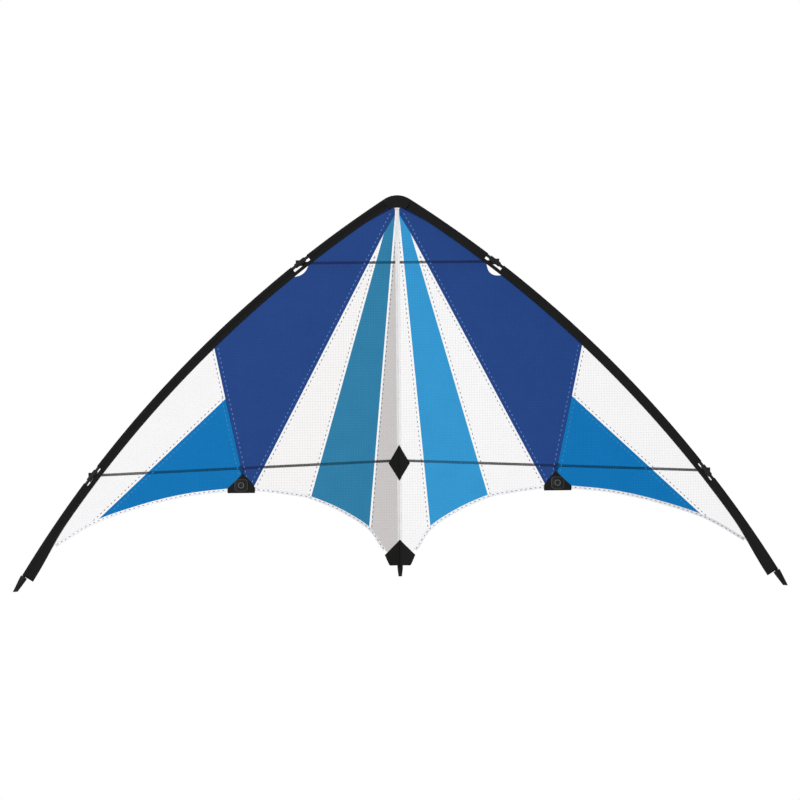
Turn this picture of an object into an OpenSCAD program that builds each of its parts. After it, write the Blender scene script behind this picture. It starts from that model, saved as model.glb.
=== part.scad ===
// Framed delta sport kite with two-line bridle connectors.
// X runs along the wingspan, Z runs up the spine to the nose, and -Y is the sail's leeward side.
// The origin is on the spine's axis, at the centre fitting.
// The frame lies behind the sail, on the +Y side.

/* [Wing outline] */
// Radius of the arc that each leading edge follows
edge_r = 1927.5; // [1900:5:1960]
// Distance of the arc's centre beyond the spine, on the other wing's side
edge_cx = 1027.7; // [1020:1:1035]
// Distance of the arc's centre below the centre fitting
edge_cz = 1194.4; // [1190:1:1200]
// Angle along the arc where the sleeve starts at the nose
nose_a = 33; // [32.9:0.1:33.4]
// Angle along the arc where the sleeve ends at the wing tip
tip_a = 58.25; // [58:0.05:58.5]
// Width of the leading-edge sleeve
sleeve_w = 15.6; // [14:0.2:18]
// Extra width of the sleeve at the wing tip
sleeve_flare = 5; // [0:0.5:6]

/* [Frame rods] */
// Outer diameter of the spine and leading-edge rods
spar_d = 5; // [4.8:0.1:5.2]
// Diameter of the three spreaders
spreader_d = 4.5; // [4:0.1:4.6]
// Distance of the spreaders behind the spine
spreader_y = 8; // [8:0.1:8.3]
// Diameter of the standoffs
standoff_d = 3; // [2.4:0.2:3.2]
// Height of the nose pivot above the centre fitting
nose_z = 424; // [422:1:426]
// Angle along the leading edge of the upper connectors
upper_a = 38.03; // [37.9:0.01:38.2]
// Angle along the leading edge of the lower connectors
lower_a = 52.4; // [52.2:0.05:52.6]
// Distance of each spreader pivot inside the outer edge
pivot_in = 7.6; // [7.4:0.1:8]
// Height of each spreader pivot above the middle of its connector
pivot_rise = 2.8; // [0:0.1:3]

/* [Sail] */
// Depth of the sail's belly at the standoffs
belly = 58; // [50:1:62]
// Thickness of a sail panel
cloth_t = 0.8; // [0.6:0.1:1]
// Distance of a standoff from the spine
standoff_x = 254; // [250:1:258]
// Height of the trailing edge where a standoff meets it
standoff_z = -37; // [-40:1:-34]

/* [Hidden] */

spar_r = spar_d / 2;
spreader_r = spreader_d / 2;
// Distance of the leading-edge spar's axis inside the sleeve's outer edge
spar_in = 3.6;
// Radius of the sleeve's outer fold and of the hollow that the spar lies in
fold_r = 3.5;
channel_r = 2.95;
// Fit between a fitting's bore and its rod
running = 0.05;
// Angles along the leading edge where the spars start, meet and end, and half the ferrule's length
spar_a0 = 33.1;
joint_a = 45.3;
spar_a1 = 58.7;
ferrule_half = 30;
// The spine's lower and upper ends
spine_foot = -170;
spine_top = 400;
deg_per_mm = 180 / (PI * edge_r);

// A point at angle a along the leading edge, d inside the outer edge, as [x, z] on the right wing
function edge(a, d) = [
    (edge_r - d) * sin(a) - edge_cx,
    (edge_r - d) * cos(a) - edge_cz
];
// The leading edge's angle at height z, d inside the outer edge
function edge_angle(z, d) = acos(min(1, (z + edge_cz) / (edge_r - d)));
function edge_x(z, d) = edge(edge_angle(z, d), d)[0];
// Where a spreader turns in the connector at angle a
function spreader_pivot(a) = edge(a, pivot_in) + [0, pivot_rise];
function mix(p, q, t) = p + (q - p) * t;

// Gap between the spine and the sail's valley, and the height where the belly has run out
valley = 3;
sail_top = 408;
// The sail's depth in front of the frame at [x, z]
function fullness(z) = pow(max(0, min(1.15, (sail_top - z) / (sail_top - standoff_z))), 1.3);
function across(x, z) = min(1, abs(x) / max(1, edge_x(min(z, sail_top - 2), sleeve_w - 2)));
function sail_y(x, z) = -(spar_r + valley) * (1 - across(x, z))
    - belly * 4 * across(x, z) * (1 - across(x, z)) * fullness(z);

// Seams, as the ends of straight lines on the right wing
sail_in = sleeve_w + 0.2;
seam_1_top = [3.4, 404];
seam_1_x = 49.5;
gore_top = [21.6, 370];
seam_2_top = [11.8, 404];
seam_2_x = 142.5;
seam_3_foot = [236, -43.5];
seam_4_foot = [247, -42];
blue_apex = [279.4, 102.7];
blue_tip = [493, -96.5];
blue_foot_x = 247.6;

// The trailing edge without its hem, as [x, z] points from the keel outwards
trailing = [[0.6, -158], [14, -152], [27.5, -141], [38, -125], [49.5, -110], [72, -92], [96, -78.5],
    [120, -67], [142.5, -58], [172, -51.5], [222, -44.5], [236, -43.5], [262, -43.6], [279, -44.5],
    [344, -52], [414, -68.5], [493, -96], [526, -113], [556.5, -132.5]];
function foot(x) = [x, lookup(x, trailing)];
// Points on the trailing edge from x0 to x1
function feet(x0, x1, n) = [for (i = [0 : n]) foot(mix(x0, x1, i / n))];

// Half the gap between two panels at a seam, and the rows of facets down a long panel
seam_gap = 0.15;
panel_steps = 14;

// A curved sheet between two [x, z] curves, given as lists of the same length, top then foot
module sheet(tops, feet, rows, lift = 0, t = cloth_t) {
    n = len(tops);
    flat_grid = [for (j = [0 : rows]) for (i = [0 : n - 1]) mix(tops[i], feet[i], j / rows)];
    skin = [for (p = flat_grid) [p[0], sail_y(p[0], p[1]) - lift, p[1]]];
    back = [for (p = skin) p + [0, t, 0]];
    count = n * (rows + 1);
    face = [for (j = [0 : rows - 1]) for (i = [0 : n - 2]) j * n + i];
    rim_i = [for (i = [0 : n - 2]) i];
    rim_j = [for (j = [0 : rows - 1]) j];
    last = rows * n;
    polyhedron(
        points = concat(skin, back),
        faces = concat(
            [for (k = face) [k, k + 1, k + n]],
            [for (k = face) [k + 1, k + n + 1, k + n]],
            [for (k = face) [k + count, k + count + n, k + count + 1]],
            [for (k = face) [k + count + 1, k + count + n, k + count + n + 1]],
            [for (i = rim_i) [i, i + count, i + 1]],
            [for (i = rim_i) [i + 1, i + count, i + count + 1]],
            [for (i = rim_i) [last + i, last + i + 1, last + i + count]],
            [for (i = rim_i) [last + i + 1, last + i + 1 + count, last + i + count]],
            [for (j = rim_j) [j * n, j * n + n, j * n + count]],
            [for (j = rim_j) [j * n + n, j * n + n + count, j * n + count]],
            [for (j = rim_j) [j * n + n - 1, j * n + n - 1 + count, j * n + 2 * n - 1]],
            [for (j = rim_j) [j * n + 2 * n - 1, j * n + n - 1 + count, j * n + 2 * n - 1 + count]]
        ),
        convexity = 4
    );
}

module mirrored(left) {
    if (left) mirror([1, 0, 0]) children();
    else children();
}

// Turns a shape drawn in the XY plane, with X outwards, into the wing's arc
module on_arc(a0, a1) {
    translate([-edge_cx, 0, -edge_cz])
        rotate([90, 0, 0])
            rotate([0, 0, 90 - a1])
                rotate_extrude(angle = a1 - a0, $fn = 720)
                    children();
}

// Places a shape drawn at the origin on the leading edge at angle a, with +X along the tangent
module at_edge(a, d) {
    p = edge(a, d);
    translate([p[0], 0, p[1]])
        rotate([0, a, 0])
            children();
}

// ---------------------------------------------------------------- centre frame

module spine_rod() {
    color("#202224")
        translate([0, 0, spine_foot])
            cylinder(r = spar_r, h = spine_top - spine_foot, $fn = 48);
}

// Cap on the spine's upper end: its radius, the length of its bore and its closed end
nose_cap_r = 3.6;
nose_cap_grip = 12;
nose_cap_end = 3;
module spine_nose_cap() {
    color("#151515")
        difference() {
            translate([0, 0, spine_top - nose_cap_grip])
                cylinder(r = nose_cap_r, h = nose_cap_grip + nose_cap_end, $fn = 48);
            translate([0, 0, spine_top - nose_cap_grip - 1])
                cylinder(r = spar_r + running, h = nose_cap_grip + 1.1, $fn = 48);
        }
}

// Cap on the spine's lower end: a short barrel, then a cone that narrows downwards
tail_cap_r = 4.4;
tail_cap_end = 4;
tail_cone = 13.3;
module tail_cap() {
    color("#151515")
        difference() {
            union() {
                translate([0, 0, spine_foot - tail_cap_end])
                    cylinder(r = tail_cap_r, h = 12.5, $fn = 48);
                translate([0, 0, spine_foot - tail_cap_end - tail_cone])
                    cylinder(r1 = 2.85, r2 = tail_cap_r, h = tail_cone, $fn = 48);
            }
            translate([0, 0, spine_foot - 0.2])
                cylinder(r = spar_r + running, h = 30, $fn = 48);
        }
}

// The spreaders lie in a channel that is open at its top, so that they lift out to fold.
// The thickness of its walls and half its length
cross_wall = 1.5;
cross_half = 12.8;
module centre_cross() {
    near = spreader_y - spreader_r - 0.3;
    far = spreader_y + spreader_r + 0.3;
    color("#151515")
        difference() {
            union() {
                translate([0, 0, -10])
                    cylinder(r = 4.6, h = 19, $fn = 48);
                translate([-cross_half, near - cross_wall, -4.6])
                    cube([2 * cross_half, cross_wall, 6.6]);
                translate([-cross_half, far, -4.6])
                    cube([2 * cross_half, cross_wall, 6.6]);
                translate([-cross_half, near - cross_wall, -4.6])
                    cube([2 * cross_half, far - near + 2 * cross_wall, 1.5]);
            }
            translate([0, 0, -11])
                cylinder(r = spar_r + running, h = 21, $fn = 48);
        }
}

// ---------------------------------------------------------------- patches

// A rounded band of webbing that wraps the nose: its outer radius and its width
nose_r = 38;
nose_band = 21;
module nose_patch() {
    half = 33.5;
    color("#1b1b1a")
        difference() {
            translate([0, 0, nose_z + 5 - nose_r])
                rotate([90, 0, 0])
                    rotate([0, 0, 90 - half])
                        rotate_extrude(angle = 2 * half, $fn = 96)
                            polygon([[nose_r - nose_band, -4.4], [nose_r - 1.5, -4.4], [nose_r, -3],
                                [nose_r, 3], [nose_r - 1.5, 4.4], [nose_r - nose_band, 4.4]]);
            translate([0, 0, spine_top - 20])
                cylinder(r = nose_cap_r + 0.15, h = 20 + nose_cap_end + 0.2, $fn = 48);
            for (side = [0, 1])
                mirrored(side == 1)
                    on_arc(spar_a0 - 0.5, 36)
                        translate([edge_r - spar_in, 0])
                            circle(r = channel_r, $fn = 32);
        }
}

// Both patches follow the valley that the sail makes along the spine
module centre_patch() {
    half = 17.2;
    color("#1b1b1a")
        sheet(
            [for (k = [-2 : 2]) [k * half / 2, -3.9 + 29.1 * (1 - abs(k) / 2)]],
            [for (k = [-2 : 2]) [k * half / 2, -4.2 - 28.2 * (1 - abs(k) / 2)]],
            4, lift = 1
        );
}

module tail_patch() {
    half = 24.6;
    flat = 17.3;
    color("#1b1b1a")
        sheet(
            [for (x = [-half, -flat, 0, flat, half]) [x, -151.8 + 23.9 * (1 - abs(x) / half)]],
            [for (x = [-half, -flat, 0, flat, half]) [x, abs(x) > flat ? -152.2 : -169.4]],
            4, lift = 1
        );
}

// ---------------------------------------------------------------- wings

module edge_spar(a0, a1) {
    color("#26282a")
        on_arc(a0, a1)
            translate([edge_r - spar_in, 0])
                circle(r = spar_r, $fn = 32);
}

module edge_ferrule() {
    half = ferrule_half * deg_per_mm;
    color("#8f9193")
        on_arc(joint_a - half, joint_a + half)
            translate([edge_r - spar_in, 0])
                difference() {
                    circle(r = spar_r + 0.35, $fn = 32);
                    circle(r = spar_r, $fn = 32);
                }
}

// Straight tapered cap over the spar's lower end, with a slanted tip: where it starts and its length
cap_a = 58.28;
cap_len = 31;
module tip_cap() {
    color("#151515")
        difference() {
            at_edge(cap_a, spar_in + 0.6)
                rotate([0, 90, 0])
                    difference() {
                        union() {
                            cylinder(r = 5.6, h = 4, $fn = 40);
                            translate([0, 0, 4])
                                cylinder(r1 = 5.6, r2 = 3, h = cap_len - 4, $fn = 40);
                        }
                        translate([-4, -8, cap_len - 0.2])
                            rotate([0, 35, 0])
                                cube([16, 16, 10]);
                    }
            on_arc(spar_a1 - 0.8, spar_a1 + 0.02)
                translate([edge_r - spar_in, 0])
                    circle(r = spar_r + running, $fn = 32);
        }
}

// Sleeve of heavy cloth round the spar, its two layers closing to a flat edge
module sleeve_profile(w) {
    translate([edge_r - spar_in, 0])
        difference() {
            union() {
                circle(r = fold_r, $fn = 40);
                polygon([[0, fold_r], [-4, 1.9], [-6, 0.8], [spar_in - w, 0.8], [spar_in - w, -0.8],
                    [-6, -0.8], [-4, -1.9], [0, -fold_r]]);
            }
            circle(r = channel_r, $fn = 40);
        }
}

// Part of the sleeve that is left beside a window, w wide and open over the outer part
module strip_profile(w, notch) {
    translate([edge_r - w, -0.8])
        square([w - notch, 1.6]);
}

// How deep the sleeve's two windows reach in from the outer edge, and half of each one's length
upper_notch = 10;
lower_notch = 7.6;
upper_half = 16 * deg_per_mm;
lower_half = 17.2 * deg_per_mm;
module edge_sleeve() {
    upper_0 = upper_a - upper_half;
    upper_1 = upper_a + upper_half;
    lower_0 = lower_a - lower_half;
    lower_1 = lower_a + lower_half;
    color("#1b1b1a") {
        on_arc(nose_a + 0.03, upper_0)
            sleeve_profile(sleeve_w);
        on_arc(upper_0, upper_1)
            strip_profile(sleeve_w, upper_notch);
        on_arc(upper_1, lower_0)
            sleeve_profile(sleeve_w);
        on_arc(lower_0, lower_1)
            strip_profile(sleeve_w, lower_notch);
        on_arc(lower_1, tip_a)
            sleeve_profile(sleeve_w + sleeve_flare / 2);
    }
}

// Moulded connector: a sleeve on the spar, an open fork for the spreader and a bridle eye behind.
// The ears' clearance and thickness, the distance from the pivot to the fork's root, and the eye
ear_gap = 0.6;
ear_t = 1.6;
fork_reach = 6.6;
eye_r = 1.6;
module connector(a) {
    pivot = spreader_pivot(a);
    near = spreader_y - spreader_r - ear_gap;
    far = spreader_y + spreader_r + ear_gap;
    back = far + ear_t;
    color("#161617")
        difference() {
            union() {
                at_edge(a, spar_in)
                    rotate([0, 90, 0])
                        translate([0, 0, -10])
                            cylinder(r = 3.9, h = 20, $fn = 40);
                translate([pivot[0], 0, pivot[1]])
                    fork(near, far, back);
            }
            on_arc(a - 1, a + 1)
                translate([edge_r - spar_in, 0])
                    circle(r = spar_r + running, $fn = 32);
            translate([pivot[0] + fork_reach, back + 4, pivot[1]])
                rotate([0, 90, 0])
                    cylinder(r = eye_r, h = 12, center = true, $fn = 32);
        }
}

module fork(near, far, back) {
    for (y = [near - ear_t, far]) {
        translate([0, y, 0])
            rotate([-90, 0, 0])
                cylinder(r = 4.6, h = ear_t, $fn = 40);
        translate([0, y, -4.6])
            cube([fork_reach + 3, ear_t, 9.2]);
    }
    translate([fork_reach, near - ear_t, -4.6])
        cube([3, back - near + ear_t, 9.2]);
    translate([fork_reach, back - 0.5, 0])
        rotate([0, 90, 0])
            translate([0, 4.5, 0])
                cylinder(r = 4, h = 3, $fn = 40);
    translate([fork_reach, back - 0.5, -4])
        cube([3, 5, 8]);
}

// ---------------------------------------------------------------- spreaders and standoffs

upper_pivot = spreader_pivot(upper_a);
lower_pivot = spreader_pivot(lower_a);
inner_x = 5.5;
inner_end = [inner_x, -0.2];
lower_span = norm(lower_pivot - inner_end);
lower_tilt = atan2(lower_pivot[1] - inner_end[1], lower_pivot[0] - inner_end[0]);
clip_at = (standoff_x - inner_x) / (lower_pivot[0] - inner_x);
clip_z = mix(inner_end, lower_pivot, clip_at)[1];
button_y = sail_y(standoff_x, standoff_z) + cloth_t;
standoff_v = [0, button_y + 1.2 - spreader_y, standoff_z - clip_z];
standoff_tilt = atan2(standoff_v[1], -standoff_v[2]);

module upper_spreader() {
    color("#2b2c2e") {
        translate([-upper_pivot[0], spreader_y, upper_pivot[1]])
            rotate([0, 90, 0])
                cylinder(r = spreader_r, h = 2 * upper_pivot[0], $fn = 40);
        for (x = [-upper_pivot[0], upper_pivot[0]])
            translate([x, spreader_y, upper_pivot[1]])
                sphere(r = spreader_r, $fn = 40);
    }
}

module lower_spreader() {
    color("#2b2c2e")
        translate([lower_pivot[0], spreader_y, lower_pivot[1]])
            rotate([0, -90 - lower_tilt, 0]) {
                cylinder(r = spreader_r, h = lower_span, $fn = 40);
                sphere(r = spreader_r, $fn = 40);
            }
}

// Turns a shape drawn along +Z so that it points along the standoff
module along_standoff() {
    translate([standoff_x, spreader_y, clip_z])
        rotate([standoff_tilt + 180, 0, 0])
            children();
}

// Radius of the clip's barrel on the spreader
clip_r = 4;
module standoff() {
    color("#3a3c3f")
        along_standoff()
            translate([0, 0, clip_r + 0.4])
                cylinder(r = standoff_d / 2, h = norm(standoff_v) - clip_r - 0.4, $fn = 32);
}

module standoff_clip() {
    color("#151515")
        difference() {
            union() {
                translate([standoff_x, spreader_y, clip_z])
                    rotate([0, 90 - lower_tilt, 0])
                        cylinder(r = clip_r, h = 10, center = true, $fn = 40);
                along_standoff()
                    cylinder(r = standoff_d / 2 + 1.4, h = 15, $fn = 32);
            }
            translate([standoff_x, spreader_y, clip_z])
                rotate([0, 90 - lower_tilt, 0])
                    cylinder(r = spreader_r + running, h = 14, center = true, $fn = 40);
            along_standoff()
                translate([0, 0, clip_r + 0.4])
                    cylinder(r = standoff_d / 2 + running, h = 20, $fn = 32);
        }
}

// The patch's front face in front of the sail, its thickness, and how far the button presses into it
patch_lift = 0.9;
patch_t = 0.7;
button_press = 0.05;
// Slopes of the sail behind the button, outwards and upwards
button_out = atan((sail_y(standoff_x + 1, standoff_z) - sail_y(standoff_x - 1, standoff_z)) / 2);
button_up = atan((sail_y(standoff_x, standoff_z + 1) - sail_y(standoff_x, standoff_z - 1)) / 2);
// Round button that the standoff's end seats against, on a rounded-square plate that follows the sail
module standoff_button() {
    color("#1d1d1c")
        translate([standoff_x, sail_y(standoff_x, standoff_z) - patch_lift + button_press, standoff_z])
            rotate([90 - button_up, 0, button_out]) {
                linear_extrude(height = 1)
                    union() {
                        square([21, 13], center = true);
                        square([15, 19], center = true);
                        for (x = [-7.5, 7.5])
                            for (z = [-6.5, 6.5])
                                translate([x, z])
                                    circle(r = 3, $fn = 24);
                    }
                cylinder(r = 4.2, h = 2, $fn = 32);
            }
}

module standoff_patch() {
    color("#1b1b1a")
        sheet(
            [[231.8, -40.6], [238, -31.9], [251, -17.6], [263, -29.6], [275.7, -41.8]],
            [for (x = [231.9, 240, 251, 263, 276.4]) [x, -49.4]],
            4, lift = patch_lift, t = patch_t
        );
}

// ---------------------------------------------------------------- sail panels

function ramp(n) = [for (i = [0 : n]) i / n];

module centre_panel() {
    color("#f2f0f2")
        sheet(
            [for (t = ramp(4)) mix([seam_gap, 404], seam_1_top - [seam_gap, 0], t)],
            feet(0.6, seam_1_x - seam_gap, 4),
            panel_steps
        );
}

module light_blue_gore() {
    color("#3296d2")
        sheet(
            [for (t = ramp(5)) mix(seam_1_top + [seam_gap, 0], seam_2_top - [seam_gap, 0], t)],
            feet(seam_1_x + seam_gap, seam_2_x - seam_gap, 5),
            panel_steps
        );
}

module white_gore() {
    color("#f2f0f2")
        sheet(
            [for (t = ramp(5)) mix(gore_top + [seam_gap, 0], gore_top + [1.6, -0.6], t)],
            feet(seam_2_x + seam_gap, seam_3_foot[0] - seam_gap, 5),
            panel_steps
        );
}

module dark_blue_panel() {
    color("#28468c")
        sheet(
            [for (t = dark_steps) dark_top(t)],
            [for (t = dark_steps) dark_foot(t)],
            panel_steps
        );
}

// The panel's top runs along the sleeve, with a half-moon cut out beside the upper connector.
// dark_corner and dark_turn are the shares of its width where its outline turns a corner
moon_a = 38.24;
moon_half = 0.47;
moon_depth = 7;
dark_a0 = 34.6;
dark_a1 = 43.85;
dark_corner = 0.1;
dark_turn = 0.9;
moon_t = dark_corner + (1 - dark_corner) * (moon_a - dark_a0) / (dark_a1 - dark_a0);
moon_t_half = (1 - dark_corner) * moon_half / (dark_a1 - dark_a0);
dark_steps = concat(
    [0, 0.1, 0.2, 0.3],
    [for (i = [0 : 8]) moon_t - moon_t_half * cos(22.5 * i)],
    [0.6, 0.7, 0.8, 0.9, 1]
);
function moon(a) = moon_depth * sqrt(max(0, 1 - pow((a - moon_a) / moon_half, 2)));
function dark_edge(a) = edge(a, sail_in + moon(a));
function dark_top(t) = t < dark_corner
    ? mix(seam_2_top + [seam_gap, 0], edge(dark_a0, sail_in), t / dark_corner)
    : dark_edge(mix(dark_a0, dark_a1, (t - dark_corner) / (1 - dark_corner)));
// Its foot runs down beside the white gore and across behind the standoff patch
function dark_foot(t) = t < dark_corner
    ? mix(gore_top + [seam_gap, 0.5], gore_top + [1.9, 0], t / dark_corner)
    : t < dark_turn
    ? mix(gore_top + [1.9, 0], seam_3_foot + [seam_gap, 0], (t - dark_corner) / (dark_turn - dark_corner))
    : mix(seam_3_foot + [seam_gap, 0], seam_4_foot, (t - dark_turn) / (1 - dark_turn));

module mid_blue_panel() {
    color("#0f70b9")
        sheet(
            [for (t = ramp(8)) mix(blue_apex + [seam_gap, -0.4], blue_tip + [-1, 0.6], t)],
            feet(blue_foot_x, blue_tip[0] - 1, 8),
            8
        );
}

module white_tip_panel() {
    color("#f2f0f2")
        sheet(
            [for (t = ramp(12)) edge(mix(43.95, 56.25, t), sail_in + 4.6 * max(0, (t - 0.75) / 0.25))],
            [for (t = ramp(12)) t < 0.75
                ? mix(blue_apex + [seam_gap, 0.4], blue_tip + [0.3, 0.4], t / 0.75)
                : foot(mix(blue_tip[0] + 0.3, 554, (t - 0.75) / 0.25))],
            6
        );
}

// Narrow folded hem below the panels, on each side of the standoff patch, and its gap to them
hem_w = 3;
hem_gap = 1.1;
module hem(x0, x1, n) {
    top = feet(x0, x1, n);
    sheet(
        [for (p = top) p - [0, hem_gap]],
        [for (p = top) p - [0, hem_gap + hem_w]],
        1
    );
}

module trailing_hem() {
    color("#f2f0f2") {
        hem(27.5, 230.5, 14);
        hem(278, 556, 16);
    }
}

// ---------------------------------------------------------------- assembly

module wing_part(name, left) {
    mirrored(left) {
        if (name == "edge_spar_upper") edge_spar(spar_a0, joint_a);
        if (name == "edge_spar_lower") edge_spar(joint_a, spar_a1);
        if (name == "edge_ferrule") edge_ferrule();
        if (name == "tip_cap") tip_cap();
        if (name == "upper_connector") connector(upper_a);
        if (name == "lower_connector") connector(lower_a);
        if (name == "edge_sleeve") edge_sleeve();
        if (name == "lower_spreader") lower_spreader();
        if (name == "standoff") standoff();
        if (name == "standoff_clip") standoff_clip();
        if (name == "standoff_button") standoff_button();
        if (name == "standoff_patch") standoff_patch();
        if (name == "centre_panel") centre_panel();
        if (name == "light_blue_gore") light_blue_gore();
        if (name == "white_gore") white_gore();
        if (name == "dark_blue_panel") dark_blue_panel();
        if (name == "mid_blue_panel") mid_blue_panel();
        if (name == "white_tip_panel") white_tip_panel();
        if (name == "trailing_hem") trailing_hem();
    }
}

WING_PARTS = ["edge_spar_upper", "edge_spar_lower", "edge_ferrule", "tip_cap", "upper_connector",
    "lower_connector", "edge_sleeve", "lower_spreader", "standoff", "standoff_clip",
    "standoff_button", "standoff_patch", "centre_panel", "light_blue_gore", "white_gore",
    "dark_blue_panel", "mid_blue_panel", "white_tip_panel", "trailing_hem"];

spine_rod();
spine_nose_cap();
tail_cap();
centre_cross();
nose_patch();
centre_patch();
tail_patch();
upper_spreader();
for (part = WING_PARTS)
    for (side = ["left", "right"])
        wing_part(part, side == "left");
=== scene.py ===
import math

import bpy
import numpy as np
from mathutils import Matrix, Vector, noise


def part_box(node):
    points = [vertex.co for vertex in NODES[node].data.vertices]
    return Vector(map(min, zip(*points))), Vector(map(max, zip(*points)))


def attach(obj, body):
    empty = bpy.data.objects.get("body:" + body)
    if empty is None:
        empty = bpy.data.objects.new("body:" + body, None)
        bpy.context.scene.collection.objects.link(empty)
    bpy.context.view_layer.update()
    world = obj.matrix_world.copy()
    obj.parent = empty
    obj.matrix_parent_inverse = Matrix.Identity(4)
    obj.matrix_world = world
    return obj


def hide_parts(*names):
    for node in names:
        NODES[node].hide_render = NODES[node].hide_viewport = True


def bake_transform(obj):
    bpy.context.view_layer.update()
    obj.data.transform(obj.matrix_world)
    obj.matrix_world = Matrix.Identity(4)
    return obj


# A framed delta sport kite. Lengths below are in millimetres until a mesh is made.
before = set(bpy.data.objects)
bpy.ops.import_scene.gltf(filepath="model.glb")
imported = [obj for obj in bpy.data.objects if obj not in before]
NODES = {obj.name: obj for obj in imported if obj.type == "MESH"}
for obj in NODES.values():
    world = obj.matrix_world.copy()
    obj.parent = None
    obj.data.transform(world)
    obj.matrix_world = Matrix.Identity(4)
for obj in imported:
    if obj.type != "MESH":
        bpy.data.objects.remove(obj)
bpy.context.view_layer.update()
MM = 0.001

# ---------------------------------------------------------------- the wing's shape, as in the CAD

EDGE_R, EDGE_CX, EDGE_CZ = 1927.5, 1027.7, 1194.4
SPAR_IN, SLEEVE_W = 3.6, 15.6
NOSE_A, TIP_A = 32.9, 58.25
UPPER_A, LOWER_A = 38.03, 52.4
DEG_PER_MM = 180 / (math.pi * EDGE_R)
# The sail's top, the height over which its belly fills, the belly's depth and the valley's along the spine
SAIL_TOP, SAIL_RUN, BELLY, VALLEY = 408, 445, 58, 5.5
# How far a panel's edge lies under the sleeve, and how far its foot stays above the trailing edge
LAP, FOOT_UP = 1.2, 2.4


def edge(a, d):
    """The point at angle a on the leading edge's arc, moved d inwards."""
    r = EDGE_R - d
    a = math.radians(a)
    return np.array([r * math.sin(a) - EDGE_CX, r * math.cos(a) - EDGE_CZ])


def edge_x(z, d):
    """How far out the leading edge, moved d inwards, is at height z."""
    a = math.acos(min(1, (z + EDGE_CZ) / (EDGE_R - d)))
    return (EDGE_R - d) * math.sin(a) - EDGE_CX


def across(x, z):
    """The share of the way from the spine to the sleeve."""
    return min(1, abs(x) / max(1, edge_x(min(z, SAIL_TOP - 2), SLEEVE_W - 2)))


def sail_y(x, z):
    """The sail's depth: a valley along the spine, a belly at each standoff and slight waves in the cloth."""
    full = max(0, min(1.15, (SAIL_TOP - z) / SAIL_RUN)) ** 1.3
    a = across(x, z)
    y = -VALLEY * (1 - a) - BELLY * 4 * a * (1 - a) * full
    calm = min(1, 6 * a) * min(1, 6 * (1 - a))
    wave = noise.noise(Vector((x * 0.012, 3.1, z * 0.006))) * 1.6
    wave += noise.noise(Vector((x * 0.05, 7.7, z * 0.03))) * 0.45
    return y + wave * calm


def mix(p, q, t):
    return np.array(p, float) * (1 - t) + np.array(q, float) * t


def smooth(t):
    t = max(0.0, min(1.0, t))
    return t * t * (3 - 2 * t)


def spline(points, steps=12):
    """A smooth curve through given points."""
    p = [np.array(q, float) for q in points]
    p = [2 * p[0] - p[1], *p, 2 * p[-1] - p[-2]]
    out = []
    for i in range(1, len(p) - 2):
        for k in range(steps):
            t = k / steps
            slope = p[i + 1] - p[i - 1]
            bend = 2 * p[i - 1] - 5 * p[i] + 4 * p[i + 1] - p[i + 2]
            twist = 3 * p[i] - p[i - 1] - 3 * p[i + 1] + p[i + 2]
            out.append(0.5 * (2 * p[i] + slope * t + bend * t * t + twist * t**3))
    out.append(p[-2])
    return out


# Trailing edge from the keel to the standoff, and from the standoff to the wing tip
INNER_FOOT = spline(
    [(0.6, -160), (14, -154), (27.5, -143), (50, -110.5), (96, -80.5), (145, -59.5), (172, -54)]
    + [(222, -47), (250, -46)]
)
OUTER_FOOT = spline([(247, -45), (279, -47), (344, -54.6), (414, -71), (493, -98), (556.5, -134.5)])
# Ends of the seams, counted from the keel outwards
KEEL_TOP, BLUE_START = (3.4, 407.5), (3.4, 398)
S1_X, S2_X = 49.5, 142.5
GORE_TOP, S3_FOOT = (21.6, 367), (236, -44)
# The dark blue panel: its angles along the leading edge, and the shares of its width where it turns a corner
DARK_A0, DARK_A1 = 33.7, 43.85
DARK_CORNER, DARK_TURN = 0.08, 0.9
S4_TOP, S4_FOOT = edge(DARK_A1, SLEEVE_W - LAP), (247, -43)
BLUE_APEX, BLUE_TIP = (278.5, 102.7), (493, -97)


def foot_at(curve, x):
    """The point of a panel's foot at x, just above the trailing edge."""
    xs = [p[0] for p in curve]
    zs = [p[1] for p in curve]
    return np.array([x, float(np.interp(x, xs, zs)) + FOOT_UP])


# ---------------------------------------------------------------- materials


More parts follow.
